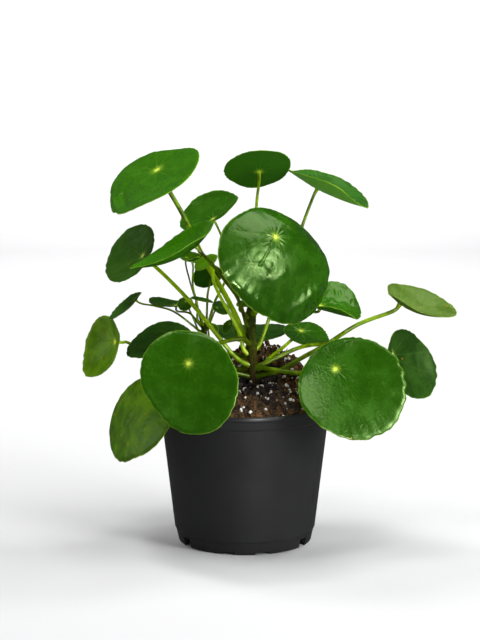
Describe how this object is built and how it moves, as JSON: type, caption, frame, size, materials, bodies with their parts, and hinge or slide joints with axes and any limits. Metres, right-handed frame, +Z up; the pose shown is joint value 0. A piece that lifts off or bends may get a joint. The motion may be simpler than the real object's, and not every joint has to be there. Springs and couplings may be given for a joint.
{
  "type": "potted pilea plant",
  "caption": "Young pilea house plant with round, coin-shaped leaves on long stalks, growing in heaped peat in a tapered black plastic nursery pot.",
  "frame": {"origin": "centre of the pot's underside, on the surface it stands on", "axes": "+Z up along the pot's axis; -Y is the front, which the picture shows; +X is to the right seen from the front"},
  "size_m": [0.3268, 0.2082, 0.341],
  "materials": {
    "pot": "satin",
    "soil": "matte",
    "trunk": "matte",
    "blade": "satin",
    "shaded": "satin",
    "pale": "satin",
    "petiole": "satin"
  },
  "bodies": {
    "root": {"pot": "pot", "soil": "soil", "trunk": "trunk", "offset_stem": "trunk", "blade_upper_left": "blade", "petiole_upper_left": "petiole", "blade_upper_middle": "blade", "petiole_upper_middle": "petiole", "blade_upper_right": "blade", "petiole_upper_right": "petiole", "blade_rear": "blade", "petiole_rear": "petiole", "blade_left_cupped": "blade", "petiole_left_cupped": "petiole", "blade_left_shaded": "shaded", "petiole_left_shaded": "petiole", "blade_centre": "blade", "petiole_centre": "petiole", "blade_right_mid": "blade", "petiole_right_mid": "petiole", "blade_front_left": "blade", "petiole_front_left": "petiole", "blade_front_right": "blade", "petiole_front_right": "petiole", "blade_far_right": "blade", "petiole_far_right": "petiole", "blade_right_shaded": "shaded", "petiole_right_shaded": "petiole", "blade_far_left": "pale", "petiole_far_left": "petiole", "blade_low_left": "pale", "petiole_low_left": "petiole", "blade_left_back": "shaded", "petiole_left_back": "petiole", "blade_right_back": "blade", "petiole_right_back": "petiole", "blade_behind_trunk": "shaded", "petiole_behind_trunk": "petiole", "blade_plantlet_far": "shaded", "petiole_plantlet_far": "petiole", "blade_plantlet_near": "shaded", "petiole_plantlet_near": "petiole", "leaf_young_flat": "blade", "leaf_young_folded": "blade", "leaf_young_bright": "blade", "leaf_young_underside": "blade", "leaf_young_edge_on": "blade", "leaf_young_dark": "blade", "leaf_young_left": "blade", "leaf_young_low": "blade", "leaf_young_crown": "blade", "leaf_young_trunk": "blade"}
  },
  "joints": []
}
